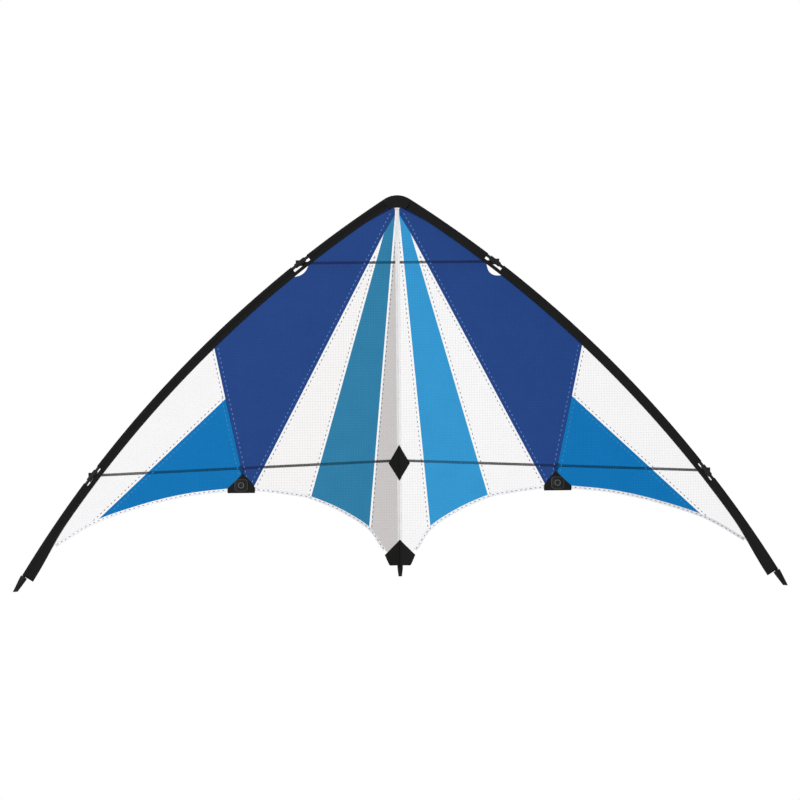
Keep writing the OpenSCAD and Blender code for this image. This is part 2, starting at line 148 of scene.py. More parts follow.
class Tree:
    """Short names for building a material's nodes."""

    def __init__(self, name):
        self.mat = bpy.data.materials.new(name)
        self.mat.use_nodes = True
        self.t = self.mat.node_tree
        self.t.nodes.clear()
        self.out = self.t.nodes.new("ShaderNodeOutputMaterial")

    def node(self, kind, links=None, **values):
        n = self.t.nodes.new("ShaderNode" + kind)
        for k, v in values.items():
            setattr(n, k, v)
        for k, v in (links or {}).items():
            if isinstance(v, bpy.types.NodeSocket):
                self.t.links.new(v, n.inputs[k])
            else:
                n.inputs[k].default_value = v
        return n

    def math(self, op, a, b=0.0):
        return self.node("Math", {0: a, 1: b}, operation=op).outputs[0]

    def ramp(self, value, a0, a1, b0, b1):
        """The value's range a0 to a1, stretched to b0 to b1."""
        return self.node("MapRange", {0: value, 1: a0, 2: a1, 3: b0, 4: b1}).outputs[0]

    def noise(self, at, scale, **more):
        values = {k.capitalize(): v for k, v in more.items()}
        return self.node("TexNoise", {"Vector": at, "Scale": scale, **values}).outputs[0]

    def bump(self, height, distance, strength):
        return self.node("Bump", {"Height": height, "Distance": distance, "Strength": strength}).outputs[0]

    def solid(self, base, rough, normal, **more):
        """The main shader, more giving its other sockets with _ for a space."""
        values = {k.replace("_", " "): v for k, v in more.items()}
        links = {"Base Color": base, "Roughness": rough, "Normal": normal, **values}
        return self.node("BsdfPrincipled", links).outputs[0]

    def cloth_uv(self):
        """The cloth's flat coordinates, together and one by one."""
        uv = self.node("UVMap", uv_map="cloth")
        s = self.node("SeparateXYZ", {0: uv.outputs[0]})
        return uv.outputs[0], s.outputs[0], s.outputs[1]

    def lines(self, value, pitch, width):
        """1 on thin lines every pitch metres, 0 between them."""
        f = self.math("FRACT", self.math("DIVIDE", value, pitch))
        d = self.math("ABSOLUTE", self.math("SUBTRACT", f, 0.5))
        return self.ramp(d, 0.5 - width / pitch, 0.5, 0.0, 1.0)

    def tint(self, fac, a, b):
        """Colour a where fac is 0, turning into colour b where it is 1."""
        m = self.node("Mix", {0: fac}, data_type="RGBA")
        for i, v in ((6, a), (7, b)):
            if isinstance(v, bpy.types.NodeSocket):
                self.t.links.new(v, m.inputs[i])
            else:
                m.inputs[i].default_value = (*v, 1)
        return m.outputs[2]

    def done(self, shader):
        """Sends the shader to the material's output, and returns the material."""
        self.t.links.new(shader, self.out.inputs[0])
        return self.mat


def ripstop(name, colour, glow, clear, share, gloss=0.5):
    """Thin ripstop cloth: colour is reflected, glow scattered through, and clear goes straight through."""
    t = Tree(name)
    uv, u, v = t.cloth_uv()
    grid = t.math("MAXIMUM", t.lines(u, 0.0042, 0.0006), t.lines(v, 0.0042, 0.0006))
    fine = t.math("MAXIMUM", t.lines(u, 0.0007, 0.00025), t.lines(v, 0.0007, 0.00025))
    cloud = t.noise(uv, 26.0, detail=4.0, roughness=0.6)
    crease = t.noise(uv, 9.0, detail=2.0, distortion=0.6)
    dark = tuple(c * 0.8 for c in colour)
    light = tuple(min(1, c * 1.1 + 0.004) for c in colour)
    base = t.tint(t.ramp(cloud, 0.3, 0.7, 0.0, 1.0), dark, light)
    base = t.tint(t.math("MULTIPLY", grid, 0.35), base, tuple(min(1, c * 1.35 + 0.03) for c in colour))
    height = t.math("ADD", t.math("MULTIPLY", grid, 0.7), t.math("MULTIPLY", fine, 0.18))
    height = t.math("ADD", height, t.math("MULTIPLY", crease, 1.6))
    bump = t.bump(height, 0.0009, 0.55)
    rough = t.ramp(cloud, 0.2, 0.8, gloss - 0.08, gloss + 0.1)
    front = t.solid(base, rough, bump, Sheen_Weight=0.08, Sheen_Roughness=0.45, Specular_IOR_Level=0.3)
    back = t.node("BsdfTranslucent", {"Color": (*glow, 1), "Normal": bump}).outputs[0]
    cloth = t.node("MixShader", {0: 0.45, 1: front, 2: back}).outputs[0]
    through = t.node("BsdfTransparent", {"Color": (*clear, 1)}).outputs[0]
    open_share = t.math("SUBTRACT", share, t.math("MULTIPLY", grid, share * 0.18))
    return t.done(t.node("MixShader", {0: open_share, 1: cloth, 2: through}).outputs[0])


def webbing(name, colour, pitch=0.0011, rough=0.72, sheen=0.35, grey=0.03, spec=0.5):
    """Heavy woven cloth for sleeves, patches and hems, with wear along its raised threads."""
    t = Tree(name)
    uv, u, v = t.cloth_uv()
    across_thread = t.lines(t.math("ADD", u, v), pitch, pitch * 0.35)
    along_thread = t.lines(t.math("SUBTRACT", u, v), pitch, pitch * 0.35)
    weave = t.math("MAXIMUM", across_thread, t.math("MULTIPLY", along_thread, 0.7))
    cloud = t.noise(uv, 45.0, detail=6.0, roughness=0.65)
    worn = t.ramp(cloud, 0.45, 0.78, 0.0, 0.7)
    light, dark = tuple(c * 1.25 + 0.004 for c in colour), tuple(c * 0.6 for c in colour)
    base = t.tint(t.math("MULTIPLY", weave, 0.4), light, dark)
    base = t.tint(worn, base, tuple(c + grey for c in colour))
    height = t.math("SUBTRACT", t.math("MULTIPLY", cloud, 1.4), t.math("MULTIPLY", weave, 0.5))
    bump = t.bump(height, 0.0006, 0.6)
    r = t.ramp(cloud, 0.3, 0.7, rough - 0.1, rough + 0.1)
    return t.done(t.solid(base, r, bump, Sheen_Weight=sheen, Sheen_Roughness=0.5, Specular_IOR_Level=spec))


def moulded(name, colour, rough, grain=900.0, metal=0.0, streak=(1, 1, 1), spec=0.25):
    """Moulded plastic, pultruded rod or metal tube, with grain, handling marks and streaks along the part."""
    t = Tree(name)
    pos = t.node("TexCoord").outputs["Object"]
    flow = t.node("Mapping", {"Vector": pos, "Scale": streak}).outputs[0]
    speck = t.noise(flow, grain, detail=4.0)
    mark = t.noise(pos, 60.0, detail=5.0, roughness=0.7)
    worn = t.ramp(mark, 0.5, 0.8, 0.0, 0.6)
    base = t.tint(speck, tuple(c * 0.75 for c in colour), tuple(c * 1.2 for c in colour))
    base = t.tint(worn, base, tuple(min(1, c * 1.5 + 0.02) for c in colour))
    bump = t.bump(t.math("ADD", speck, mark), 0.00015, 0.5)
    r = t.ramp(mark, 0.25, 0.75, rough - 0.07, rough + 0.12)
    return t.done(t.solid(base, r, bump, Metallic=metal, Specular_IOR_Level=spec))


WHITE_R = ripstop("ripstop_white_right", (0.86, 0.85, 0.87), (0.9, 0.9, 0.9), (0.95, 0.945, 0.95), 0.9)
# Painted shade: a slightly greyer copy of the white cloth, for the left side's white gore
WHITE_PAINTED_SHADE_M = ripstop("ripstop_white_middle_painted_shade", (0.84, 0.83, 0.83), (0.88, 0.87, 0.87), (0.94, 0.925, 0.92), 0.9)
# Painted shade: a darker copy of the white cloth, for the left side's centre panel
WHITE_PAINTED_SHADE_L = ripstop("ripstop_white_left_painted_shade", (0.58, 0.56, 0.56), (0.6, 0.58, 0.58), (0.6, 0.573, 0.566), 0.9)
LIGHT_R = ripstop("ripstop_light_blue_right", (0.05, 0.36, 0.72), (0.05, 0.4, 0.75), (0.027, 0.29, 0.6), 0.68)
# Painted shade: a darker copy of the light blue cloth, for the left side's light blue gore
LIGHT_BLUE_PAINTED_SHADE_L = ripstop(
    "ripstop_light_blue_left_painted_shade", (0.04, 0.26, 0.45), (0.04, 0.28, 0.48), (0.026, 0.197, 0.375), 0.68
)
MID = ripstop("ripstop_mid_blue", (0.002, 0.2, 0.5), (0.002, 0.21, 0.52), (0.003, 0.165, 0.465), 0.68)
DARK = ripstop("ripstop_dark_blue", (0.022, 0.062, 0.26), (0.025, 0.07, 0.28), (0.012, 0.055, 0.22), 0.6)
BLACK = webbing("black_dacron", (0.006, 0.006, 0.0055), rough=0.8, sheen=0.01, grey=0.006, spec=0.12)
HEM = webbing("white_hem", (0.86, 0.86, 0.88), 0.0009, 0.65, 0.1, -0.08)
SEAM = ripstop("pale_seam", (0.9, 0.92, 0.96), (0.95, 0.97, 1.0), (1.0, 1.0, 1.0), 0.95)
KEEL = webbing("keel_tape", (0.78, 0.77, 0.77), 0.0009, 0.6, 0.1, -0.06)
THREAD_GREY = webbing("thread_grey", (0.035, 0.045, 0.075), 0.0004, 0.6, 0.1, 0.01)
THREAD_PALE = webbing("thread_pale", (0.13, 0.24, 0.5), 0.0004, 0.6, 0.05, 0.01, 0.2)
THREAD_SKY = webbing("thread_sky", (0.05, 0.24, 0.5), 0.0004, 0.6, 0.05, 0.01, 0.2)
THREAD_WHITE = webbing("thread_white", (0.8, 0.8, 0.82), 0.0004, 0.6, 0.2, 0.01)
THREAD_BLACK = webbing("thread_black", (0.008, 0.008, 0.008), 0.0004, 0.7, 0.01, 0.004, 0.15)
ROD = moulded("pultruded_rod", (0.010, 0.010, 0.011), 0.35, 500.0, streak=(1, 1, 0.06), spec=0.22)
SPREADER = moulded("spreader_rod", (0.008, 0.008, 0.009), 0.4, 500.0, streak=(0.06, 1, 1), spec=0.18)
FERRULE = moulded("ferrule_metal", (0.5, 0.51, 0.52), 0.34, 700.0, metal=1.0, streak=(0.3, 1, 0.3), spec=0.5)
RUBBER = moulded("moulded_rubber", (0.008, 0.008, 0.008), 0.62)
CAP = moulded("vinyl_cap", (0.006, 0.006, 0.006), 0.5, spec=0.15)
# Painted highlight: a paler rubber for the button's rounded edge and ring crest
RIM_PAINTED_HIGHLIGHT = moulded("button_edge_painted_highlight", (0.09, 0.09, 0.09), 0.5)

# ---------------------------------------------------------------- mesh tools


def make(name, verts, faces, material, uvs=None):
    """A mesh object from points in millimetres. uvs are in metres, one for each point."""
    mesh = bpy.data.meshes.new(name)
    mesh.from_pydata([tuple(float(c) * MM for c in v) for v in verts], [], faces)
    mesh.update()
    layer = mesh.uv_layers.new(name="cloth")
    if uvs is None:
        uvs = [(v[0] * MM, v[2] * MM) for v in verts]
    for loop in mesh.loops:
        layer.data[loop.index].uv = uvs[loop.vertex_index]
    for p in mesh.polygons:
        p.use_smooth = True
    mesh.materials.append(material)
    obj = bpy.data.objects.new(name, mesh)
    bpy.context.scene.collection.objects.link(obj)
    return obj


def bind(obj, side, pair):
    """Joins a piece to its wing, its sail fold or the centre; any other piece only has its transform baked
    into its mesh.
    """
    wing = "right" if side > 0 else "left"
    if pair == "wing":
        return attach(obj, wing + "_wing")
    if pair == "fold":
        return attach(obj, wing + "_sail_fold")
    if pair == "centre":
        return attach(obj, "centre")
    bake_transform(obj)
    return obj


def between(left, right, foot, rows):
    """Rows of points between two side edges, bent at the bottom to end on the foot curve."""
    n = len(foot)
    out = []
    for j in range(rows + 1):
        t = j / rows
        a, b = along(left, t), along(right, t)
        ends = left[-1], right[-1]
        out.append([mix(a, b, i / (n - 1)) + (foot[i] - mix(*ends, i / (n - 1))) * t * t for i in range(n)])
    return out


def along(path, t):
    """The point at share t of a path's length."""
    p = np.array(path, float)
    s = np.concatenate([[0], np.cumsum(np.linalg.norm(np.diff(p, axis=0), axis=1))])
    return np.array([np.interp(t * s[-1], s, p[:, 0]), np.interp(t * s[-1], s, p[:, 1])])


def declare(points, rows):
    """Works out a sheet grid's longest column and widest row, in metres and rounded, and does nothing more
    with them.
    """
    p = np.array(points).reshape(rows + 1, -1, 3) * MM
    long = np.linalg.norm(np.diff(p, axis=0), axis=2).sum(0).max()
    wide = np.linalg.norm(np.diff(p, axis=1), axis=2).sum(1).max()
    wide, long = (round(max(v, 0.011), 3) for v in (wide, long))


def panel(name, side, points, material, pair, nodes):
    """One cut panel of the sail, from rows of [x, z] points."""
    rows, n = len(points) - 1, len(points[0])
    verts, uvs = [], []
    for j in range(rows + 1):
        for i in range(n):
            x, z = points[j][i]
            verts.append((side * x, sail_y(x, z), z))
            uvs.append((side * x * MM, z * MM))
    faces = []
    for j in range(rows):
        for i in range(n - 1):
            k = j * n + i
            q = (k, k + n, k + n + 1, k + 1)
            faces.append(q if side > 0 else q[::-1])
    obj = make(name, verts, faces, material, uvs)
    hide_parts(*nodes)
    bind(obj, side, pair)
    declare(verts, rows)
    return obj


def resample(path, pitch):
    """Even points about pitch apart along a path, and their distances along it."""
    p = np.array(path, float)
    s = np.concatenate([[0], np.cumsum(np.linalg.norm(np.diff(p, axis=0), axis=1))])
    n = max(2, int(round(s[-1] / pitch)) + 1)
    q = np.linspace(0, s[-1], n)
    return np.stack([np.interp(q, s, p[:, 0]), np.interp(q, s, p[:, 1])], 1), q


def shifted(path, off):
    """The path moved sideways by off, to its left as it runs."""
    p = np.array(path, float)
    d = np.gradient(p, axis=0)
    d /= np.linalg.norm(d, axis=1)[:, None] + 1e-9
    return p + np.stack([-d[:, 1], d[:, 0]], 1) * off


def beside(path, off, grow):
    """The path moved sideways by off, reached over its first grow millimetres."""
    p, s = resample(path, 5.0)
    return p + (shifted(p, off) - p) * np.minimum(1, (s + 1) / grow)[:, None]


def tape(name, side, path, width, thick, lift, material, pair, crown, grow=0.1):
    """A strip of folded cloth sewn along a path, slightly crowned, that widens over its first grow mm."""
    p, s = resample(path, 5.0)
    wide = np.minimum(1, (s + 1) / grow)[:, None]
    high = thick + crown
    prof = [(-0.5, 0.0), (-0.46, thick), (-0.2, high), (0.2, high), (0.46, thick), (0.5, 0.0)]
    m = len(prof)
    lanes = [p + (shifted(p, off * width) - p) * wide for off, _ in prof]
    verts, uvs = [], []
    for k in range(len(p)):
        for lane, (off, h) in zip(lanes, prof):
            x, z = lane[k]
            verts.append((side * x, sail_y(x, z) - lift - h, z))
            uvs.append((s[k] * MM, off * width * MM))
    faces = []
    for k in range(len(p) - 1):
        for i in range(m):
            a, b = k * m + i, k * m + (i + 1) % m
            q = (a, b, b + m, a + m)
            faces.append(q if side < 0 else q[::-1])
    faces.append(tuple(range(m)))
    faces.append(tuple(reversed([(len(p) - 1) * m + i for i in range(m)])))
    obj = make(name, verts, faces, material, uvs)
    bind(obj, side, pair)
    return obj


# A stitch's outline and ridge, as (along, across, height) in half lengths, half widths and heights
STITCH = (
    ((-1, 0, 0), (-0.6, -1, 0), (0.6, -1, 0), (1, 0, 0), (0.6, 1, 0), (-0.6, 1, 0))
    + ((-0.5, 0, 1), (0.5, 0, 1))
)
STITCH_FACES = ((0, 1, 6), (1, 2, 7, 6), (2, 3, 7), (3, 4, 7), (4, 5, 6, 7), (5, 0, 6))


def stitches(name, side, paths, material, pair, lift, pitch=7.7, long=3.7, wide=1.15, high=0.3, depth=sail_y):
    """Rows of thread stitches, each a small raised lens along its path."""
    verts, faces, uvs = [], [], []
    for path in paths:
        p, s = resample(path, pitch)
        for k in range(len(p) - 1):
            a, b = p[k], p[k + 1]
            d = (b - a) / (np.linalg.norm(b - a) + 1e-9)
            c = (a + b) / 2
            n = np.array([-d[1], d[0]])
            base = len(verts)
            for du, dv, h in STITCH:
                x, z = c + d * du * long / 2 + n * dv * wide / 2
                verts.append((side * x, depth(x, z) - lift - h * high, z))
                uvs.append((du * 0.001, dv * 0.0004))
            for f in STITCH_FACES:
                g = tuple(base + i for i in f)
                faces.append(g if side < 0 else g[::-1])
    obj = make(name, verts, faces, material, uvs)
    return bind(obj, side, pair)


def both_faces(name, side, rows, pair, half):
    """Black stitches on the front and the back of a flat piece whose faces lie at half from the middle."""
    stitches(name + "_front", side, rows, THREAD_BLACK, pair, 0.0, depth=lambda x, z: -half)
    stitches(name + "_back", side, rows, THREAD_BLACK, pair, 0.0, high=-0.35, depth=lambda x, z: half)


# ---------------------------------------------------------------- the sail


def line(p, q, n=24):
    """Even points from p to q."""
    return [mix(p, q, k / n) for k in range(n + 1)]


# The half-moon beside the upper connector: the angle of its middle and half its angle
MOON_A, MOON_HALF = 38.24, 0.47


def dark_top(t, moon_depth):
    """The dark blue panel's top edge, which bows out to the sleeve and then runs along it."""
    if t < DARK_CORNER:
        bow = 26 * t * (DARK_CORNER - t) / DARK_CORNER**2
        return mix(KEEL_TOP, edge(DARK_A0, SLEEVE_W - LAP), t / DARK_CORNER) + np.array([0, bow])
    a = DARK_A0 + (DARK_A1 - DARK_A0) * (t - DARK_CORNER) / (1 - DARK_CORNER)
    m = max(0.0, 1 - ((a - MOON_A) / MOON_HALF) ** 2)
    return edge(a, SLEEVE_W - LAP + moon_depth * m)


def dark_foot(t):
    """Its other edge, down beside the light blue and white gores and across behind the standoff patch."""
    if t < DARK_CORNER:
        return mix(BLUE_START, GORE_TOP, t / DARK_CORNER)
    if t < DARK_TURN:
        return mix(GORE_TOP, S3_FOOT, (t - DARK_CORNER) / (DARK_TURN - DARK_CORNER))
    return mix(S3_FOOT, S4_FOOT, (t - DARK_TURN) / (1 - DARK_TURN))


def dark_steps():
    """Shares of the panel's width, closer together where the half-moon is."""
    ends = [MOON_A + MOON_HALF * k for k in (-1, 1)]
    a, b = (DARK_CORNER + (1 - DARK_CORNER) * (e - DARK_A0) / (DARK_A1 - DARK_A0) for e in ends)
    moon = [(a + b) / 2 - (b - a) / 2 * math.cos(math.pi * k / 16) for k in range(17)]
    before = [a * k / 18 for k in range(18)]
    after = [b + (1 - b) * k / 34 for k in range(1, 35)]
    return before + moon + after


def ramp(n):
    """Even shares from 0 to 1."""
    return [k / n for k in range(n + 1)]


def foot_share(curve, a, b, t):
    """The point of the trailing edge at share t from x = a to x = b."""
    return foot_at(curve, a + (b - a) * t)


def feet(a, b, n):
    """Even points of the inner trailing edge from x = a to x = b."""
    return [foot_share(INNER_FOOT, a, b, t) for t in ramp(n)]


def ruled(tops, ends, rows):
    """Rows of points on straight lines from the tops to the ends."""
    return [[mix(p, q, j / rows) for p, q in zip(tops, ends)] for j in range(rows + 1)]


# How far the white panels stop short of a seam
SEAM_BACK = 2.8
# A seam's strip: its width, and its middle's distance from the seam, on the white side
STRIP_W, STRIP_OFF = 3.3, 1.45
# Distances of the rows of stitches from a seam: on white cloth, on blue cloth, and on the mid blue panel
# along the low part of seam 4
GREY_OFF, PALE_OFF, SKY_OFF = 4.0, 5.8, 5.6
# Share of the tip panel's width where its foot leaves the blue panel, and its last angle along the sleeve
TIP_TURN, TIP_END_A = 0.82, 56.45
# Share of seam 4 where white gives way to blue
CUT_4 = 0.36


def sail(side):
    """One side's panels, seams, keel tape and hems, with their stitches."""
    w = "right_" if side > 0 else "left_"
    # The left side takes greyer and darker copies of the white and light blue cloth: painted shade
    white, gore, light = (WHITE_R, WHITE_R, LIGHT_R) if side > 0 else (WHITE_PAINTED_SHADE_L, WHITE_PAINTED_SHADE_M, LIGHT_BLUE_PAINTED_SHADE_L)
    moon_depth = 9.0 if side > 0 else 6.0

    def add(part, points, mat, pair):
        return panel(w + part + "_cloth", side, points, mat, pair, [w + part])

    keel = [(0, KEEL_TOP[1]), foot_at(INNER_FOOT, 0.6)]
    s1 = [BLUE_START, foot_at(INNER_FOOT, S1_X)]
    s2 = [GORE_TOP, foot_at(INNER_FOOT, S2_X)]
    s3 = [GORE_TOP, foot_at(INNER_FOOT, S3_FOOT[0])]
    white_1 = beside(line(*s1), -SEAM_BACK, 38)
    white_2 = beside(line(*s2), SEAM_BACK, 30)
    white_3 = beside(line(*s3), -SEAM_BACK, 30)
    points = between(keel, [KEEL_TOP, *white_1], feet(0.6, white_1[-1][0], 12), 96)
    add("centre_panel", points, white, "inner")
    points = between(s1, [np.array(BLUE_START) + (0.8, 0.2)] + s2, feet(S1_X, S2_X, 16), 90)
    add("light_blue_gore", points, light, "inner")
    points = between(white_2, white_3, feet(white_2[-1][0], white_3[-1][0], 16), 80)
    add("white_gore", points, gore, "inner")
    steps = dark_steps()
    points = ruled([dark_top(t, moon_depth) for t in steps], [dark_foot(t) for t in steps], 56)
    add("dark_blue_panel", points, DARK, "outer")
    steps = ramp(44)
    tops = [mix(BLUE_APEX, BLUE_TIP, t) for t in steps]
    ends = [foot_share(OUTER_FOOT, 247, 492.5, t) for t in steps]
    add("mid_blue_panel", ruled(tops, ends, 26), MID, "outer")
    tops, ends = [], []
    blue_side = shifted(line(S4_TOP, BLUE_APEX) + line(BLUE_APEX, BLUE_TIP)[1:], SEAM_BACK)
    for t in ramp(60):
        a = DARK_A1 + (TIP_END_A - DARK_A1) * t
        tops.append(edge(a, sleeve_width(a) - LAP))
        if t < TIP_TURN:
            ends.append(along(blue_side, t / TIP_TURN))
        else:
            ends.append(foot_share(OUTER_FOOT, BLUE_TIP[0], 556, (t - TIP_TURN) / (1 - TIP_TURN)))
    add("white_tip_panel", ruled(tops, ends, 22), WHITE_R, "outer")

    # Sewn seams: a folded strip on the white side, and a row of stitches on each side.
    # grow is the length over which the strip widens, and 0 where the seam has no strip
    cut = mix(S4_TOP, S4_FOOT, CUT_4)
    seams = (
        ("seam_1", "inner", line(*s1), -1, 38),
        ("seam_2", "inner", line(*s2), 1, 28),
        ("seam_3", "inner", line(*s3), -1, 28),
        ("seam_4", "outer", line(S4_TOP, cut), 1, 1),
        ("seam_4_low", "outer", line(cut, S4_FOOT), 1, 0),
        ("seam_5", "outer", line(BLUE_APEX, BLUE_TIP), 1, 1),
    )
    grey, pale, sky = {"inner": [], "outer": []}, {"inner": [], "outer": []}, []
    for name, pair, path, white_side, grow in seams:
        if grow:
            middle = beside(path, STRIP_OFF * white_side, grow)
            tape(w + name, side, middle, STRIP_W, 0.1, 0.1, SEAM, pair, 0.08, grow=grow)
            grey[pair].append(shifted(path, GREY_OFF * white_side)[2 if grow > 1 else 0 :])
        else:
            sky.append(shifted(path, SKY_OFF))
        if name == "seam_5":
            sky.append(shifted(path, -PALE_OFF)[2:-3])
        elif name not in ("seam_1", "seam_2"):
            pale[pair].append(shifted(path, -PALE_OFF * white_side))
    pale["inner"].append(line(np.array(BLUE_START) + (6.4, 3.2), np.array(GORE_TOP) + (5.8, 2.6)))
    for pair in ("inner", "outer"):
        stitches(w + pair + "_seam_thread_grey", side, grey[pair], THREAD_GREY, pair, 0.1)
        stitches(w + pair + "_seam_thread_pale", side, pale[pair], THREAD_PALE, pair, 0.1)
    stitches(w + "seam_thread_sky", side, sky, THREAD_SKY, "outer", 0.1)

    # Keel pocket: an opaque tape that holds the spine in the valley, with a stitched edge
    tape(w + "keel_tape", side, line((1.75, 407), (1.75, -158)), 3.5, 0.12, 0.1, KEEL, "inner", 0.05)
    stitches(w + "keel_thread", side, [line((3.0, 404), (3.0, -126))], THREAD_WHITE, "inner", 0.25, wide=0.6)

    # Hems of the trailing edge
    inner = [p + np.array([0, FOOT_UP]) for p in INNER_FOOT if 24 < p[0] < 238]
    outer = [p + np.array([0, FOOT_UP]) for p in OUTER_FOOT if p[0] > 262]
    for part, path, pair in (("inner_hem", inner, "inner"), ("outer_hem", outer, "outer")):
        hem = tape(w + part, side, path, 5.0, 0.75, -0.4, HEM, pair, 0.18)
        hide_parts(w + "trailing_hem")
        stitches(w + part + "_thread", side, [path], THREAD_GREY, pair, 0.5)


# ---------------------------------------------------------------- sleeves


# The sleeve's outer fold, the hollow that the spar lies in, and half its thickness where it is flat
FOLD_R, CHANNEL_R, FLAT_H = 3.5, 2.95, 0.8


def sleeve_width(a):
    """The sleeve widens towards the wing tip and the nose."""
    return SLEEVE_W + 5.0 * smooth((a - 54.9) / 3.0) + 4.0 * (1 - smooth((a - NOSE_A) / 1.6))


def sleeve_loops(w):
    """Outer and inner outline of the sleeve's section, as (distance inwards from the spar, height)."""
    ring = [math.radians(d) for d in range(-125, 126, 10)]
    outer = [(-FOLD_R * math.cos(a), FOLD_R * math.sin(a)) for a in ring]
    tail = w - SPAR_IN
    half = [(4.0, 1.95), (6.2, 0.95), (9.0, FLAT_H), (tail - 0.4, FLAT_H), (tail, 0.4)]
    outer += half + [(d, -h) for d, h in reversed(half)]
    back = [math.radians(132 + 96 * k / 9) for k in range(10)]
    inner = [(-CHANNEL_R * math.cos(a), CHANNEL_R * math.sin(a)) for a in ring + back]
    return outer, inner


def swept(a0, a1, loop_at, step=4.0):
    """Rings of points along the wing's arc. loop_at gives a section's (distance in, height) at an angle."""
    n = max(2, int((a1 - a0) / DEG_PER_MM / step))
    rings = []
    for k in range(n + 1):
        a = a0 + (a1 - a0) * k / n
        ring = []
        for d, h in loop_at(a):
            x, z = edge(a, SPAR_IN + d)
            ring.append((x, h, z, a, d))
        rings.append(ring)
    return rings


def sleeve(side):
    """The leading-edge sleeve: three tubes, and the strip that is left beside each connector's window."""
    w = "right_" if side > 0 else "left_"
    verts, uvs, faces = [], [], []

    def face(*f):
        faces.append(f if side < 0 else f[::-1])

    def store(rings, ripple):
        base = len(verts)
        for ring in rings:
            for x, h, z, a, d in ring:
                s = a / DEG_PER_MM
                r = noise.noise(Vector((s * 0.06, d * 0.2, h * 0.3 + 5))) * ripple
                verts.append((side * x, h * (1 + r * 0.09), z))
                uvs.append((s * MM, (d + SPAR_IN) * MM))
        return base, len(rings[0])

    def skin(base, m, n, inward=False):
        for k in range(n - 1):
            for i in range(m):
                a, b = base + k * m + i, base + k * m + (i + 1) % m
                face(*((a, a + m, b + m, b) if inward else (a, b, b + m, a + m)))

    def tube(a0, a1):
        rings_o = swept(a0, a1, lambda a: sleeve_loops(sleeve_width(a))[0])
        rings_i = swept(a0, a1, lambda a: sleeve_loops(sleeve_width(a))[1])
        bo, m = store(rings_o, 1.0)
        bi, _ = store(rings_i, 0.0)
        n = len(rings_o)
        skin(bo, m, n)
        skin(bi, m, n, True)
        for k, flip in ((0, True), (n - 1, False)):
            for i in range(m):
                j = (i + 1) % m
                q = (bo + k * m + i, bi + k * m + i, bi + k * m + j, bo + k * m + j)
                face(*(q if flip else q[::-1]))

    def strip(a0, a1, notch):
        near, far = notch - SPAR_IN, SLEEVE_W - SPAR_IN
        half = [(near, 0.5), (near + 0.4, 0.85), (far - 0.4, FLAT_H), (far, 0.4)]
        loop = half + [(d, -h) for d, h in reversed(half)]
        rings = swept(a0 - 0.004, a1 + 0.004, lambda a: loop)
        b, m = store(rings, 0.4)
        skin(b, m, len(rings))
        face(*[b + i for i in range(m)][::-1])
        face(*[b + (len(rings) - 1) * m + i for i in range(m)])

    start = NOSE_A
    for middle, half_mm, notch in ((UPPER_A, 16, 10), (LOWER_A, 17.2, 7.6)):
        half = half_mm * DEG_PER_MM
        tube(start, middle - half)
        strip(middle - half, middle + half, notch)
        start = middle + half
    tube(start, TIP_A)
    obj = make(w + "sleeve_cloth", verts, faces, BLACK, uvs)
    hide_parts(w + "edge_sleeve")
    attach(obj, w + "wing")

    # Stitch rows along the sleeve's inner edge, on both faces
    a0, a1 = NOSE_A + 0.4, TIP_A - 0.05
    n = int((a1 - a0) / DEG_PER_MM / 6)
    angles = [a0 + (a1 - a0) * k / n for k in range(n + 1)]
    rows = [[edge(a, sleeve_width(a) - inset) for a in angles] for inset in (1.6, 3.4)]
    both_faces(w + "sleeve_thread", side, rows, "wing", FLAT_H)


# ---------------------------------------------------------------- patches


# The patches' thickness, and how far the standoff patch's back lies in front of the sail
PATCH_T, STANDOFF_LIFT = 0.7, 1.0


def flat_patch(name, side, tops, ends, rows, pair, nodes, border, lift=0.9):
    """A sewn patch of heavy cloth that follows the sail, with a row of stitches inside its border."""
    n, thick = len(tops), PATCH_T
    verts, uvs = [], []
    for layer in (lift + thick, lift):
        for j in range(rows + 1):
            for i in range(n):
                x, z = mix(tops[i], ends[i], j / rows)
                inside = min(i, n - 1 - i, j, rows - j) > 0
                h = layer if layer == lift or inside else lift + thick * 0.6
                verts.append((side * x, sail_y(x, z) - h, z))
                uvs.append((side * x * MM, z * MM))
    count = n * (rows + 1)
    faces = []

    def face(*f):
        faces.append(f if side > 0 else f[::-1])

    for j in range(rows):
        for i in range(n - 1):
            k = j * n + i
            face(k, k + n, k + n + 1, k + 1)
            face(k + count, k + count + 1, k + count + n + 1, k + count + n)
    for i in range(n - 1):
        face(i, i + 1, i + 1 + count, i + count)
        k = rows * n + i
        face(k, k + count, k + count + 1, k + 1)
    for j in range(rows):
        k = j * n
        face(k, k + count, k + n + count, k + n)
        k = j * n + n - 1
        face(k, k + n, k + n + count, k + count)
    obj = make(name, verts, faces, BLACK, uvs)
    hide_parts(*nodes)
    bind(obj, side, pair)
    declare(verts[:count], rows)
    top = lift + thick - 0.05
    stitches(name + "_thread", side, border, THREAD_BLACK, pair, top, pitch=4.4, long=2.8, wide=0.7, high=0.4)


